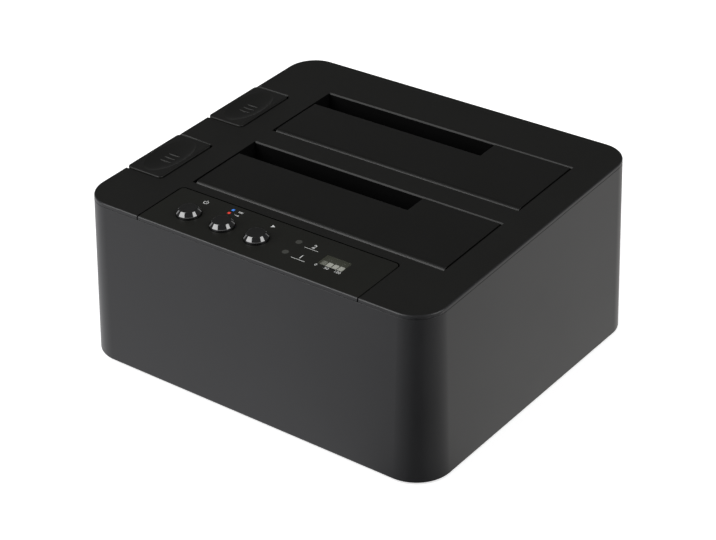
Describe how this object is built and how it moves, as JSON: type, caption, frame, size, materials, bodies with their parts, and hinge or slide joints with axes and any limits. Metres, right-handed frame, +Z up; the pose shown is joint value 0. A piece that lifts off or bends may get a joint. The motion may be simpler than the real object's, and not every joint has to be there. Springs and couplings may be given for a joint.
{
  "type": "hard-drive duplicator dock",
  "caption": "Desktop drive duplicator with sloping deck, sprung slot flaps for bare drives on end, eject keys with lifting rockers, round push buttons and a bar display.",
  "frame": {"origin": "on the table plane, under the middle of the housing", "axes": "+Z up, +X to the right along the front, +Y to the back, so the control panel faces -Y"},
  "size_m": [0.147, 0.1306, 0.0682],
  "materials": {
    "housing": "satin",
    "deck": "fine matt texture",
    "base": "matt",
    "rubber": "matt",
    "board": "satin",
    "chip": "matt",
    "capacitor": "satin",
    "connector": "satin",
    "port_shell": "bright",
    "panel": "fine matt texture",
    "led": "gloss",
    "drive_light": "translucent gloss",
    "link_light": "translucent gloss",
    "copy_light": "translucent gloss",
    "window": "translucent gloss",
    "bars": "gloss",
    "ribbon": "satin",
    "button": "gloss rim, satin top",
    "well": "matt",
    "flap": "fine matt texture",
    "steel": "bright",
    "key": "fine matt texture",
    "rocker": "satin"
  },
  "bodies": {
    "chassis": {"outer_sleeve": "housing", "top_cover": "deck", "base_plate": "base", "rubber_feet": "rubber", "main_board": "board", "bridge_chips": "chip", "supply_capacitors": "capacitor", "power_jack": "connector", "usb_port": "port_shell", "esata_port": "connector", "control_panel": "panel", "button_board": "board", "push_switches": "connector", "led_chips": "led", "drive_light_guides": "drive_light", "link_light": "link_light", "copy_light": "copy_light", "progress_window": "window", "bar_module": "connector", "progress_bars": "bars", "cable_headers": "connector", "ribbon_cable": "ribbon", "front_drive_well": "well", "front_flap_pin": "steel", "front_flap_spring": "steel", "front_socket": "connector", "front_key_spring": "steel", "front_rocker_pin": "steel", "rear_drive_well": "well", "rear_flap_pin": "steel", "rear_flap_spring": "steel", "rear_socket": "connector", "rear_key_spring": "steel", "rear_rocker_pin": "steel"},
    "power_button": {"power_button": "button", "power_plunger": "connector"},
    "mode_button": {"mode_button": "button", "mode_plunger": "connector"},
    "start_button": {"start_button": "button", "start_plunger": "connector"},
    "front_flap": {"front_flap": "flap"},
    "front_eject_key": {"front_eject_key": "key", "front_key_clip": "steel"},
    "front_rocker": {"front_rocker": "rocker"},
    "rear_flap": {"rear_flap": "flap"},
    "rear_eject_key": {"rear_eject_key": "key", "rear_key_clip": "steel"},
    "rear_rocker": {"rear_rocker": "rocker"}
  },
  "joints": [
    {"name": "power_press", "type": "slide", "parent": "chassis", "child": "power_button", "axis": [0, 0.0492, -0.9988], "range_m": [0, 0.0005], "stiffness_N_per_m": 1200, "springref_m": -0.0003},
    {"name": "mode_press", "type": "slide", "parent": "chassis", "child": "mode_button", "axis": [0, 0.0492, -0.9988], "range_m": [0, 0.0005], "stiffness_N_per_m": 1200, "springref_m": -0.0003},
    {"name": "start_press", "type": "slide", "parent": "chassis", "child": "start_button", "axis": [0, 0.0492, -0.9988], "range_m": [0, 0.0005], "stiffness_N_per_m": 1200, "springref_m": -0.0003},
    {"name": "front_flap_hinge", "type": "hinge", "parent": "chassis", "child": "front_flap", "pos_m": [0, -0.0329, 0.06108], "axis": [-1, 0, 0], "range_deg": [0, 88], "stiffness_Nm_per_rad": 0.004, "springref_deg": -28.65},
    {"name": "front_eject_press", "type": "slide", "parent": "chassis", "child": "front_eject_key", "axis": [0, 0, -1], "range_m": [0, 0.0045], "stiffness_N_per_m": 400, "springref_m": -0.003, "deforming": ["front_key_spring"]},
    {"name": "front_rocker_pivot", "type": "hinge", "parent": "chassis", "child": "front_rocker", "pos_m": [-0.0505, -0.028, 0.0163], "axis": [0, -1, 0], "range_deg": [0, 21.5]},
    {"name": "rear_flap_hinge", "type": "hinge", "parent": "chassis", "child": "rear_flap", "pos_m": [0, 0.0108, 0.06323], "axis": [-1, 0, 0], "range_deg": [0, 88], "stiffness_Nm_per_rad": 0.004, "springref_deg": -28.65},
    {"name": "rear_eject_press", "type": "slide", "parent": "chassis", "child": "rear_eject_key", "axis": [0, 0, -1], "range_m": [0, 0.0045], "stiffness_N_per_m": 400, "springref_m": -0.003, "deforming": ["rear_key_spring"]},
    {"name": "rear_rocker_pivot", "type": "hinge", "parent": "chassis", "child": "rear_rocker", "pos_m": [-0.0505, 0.0157, 0.0163], "axis": [0, -1, 0], "range_deg": [0, 21.5]}
  ],
  "couplings": [
    {"joint": "front_rocker_pivot", "follows": "front_eject_press", "rad_per_m": 83.333},
    {"joint": "rear_rocker_pivot", "follows": "rear_eject_press", "rad_per_m": 83.333}
  ]
}
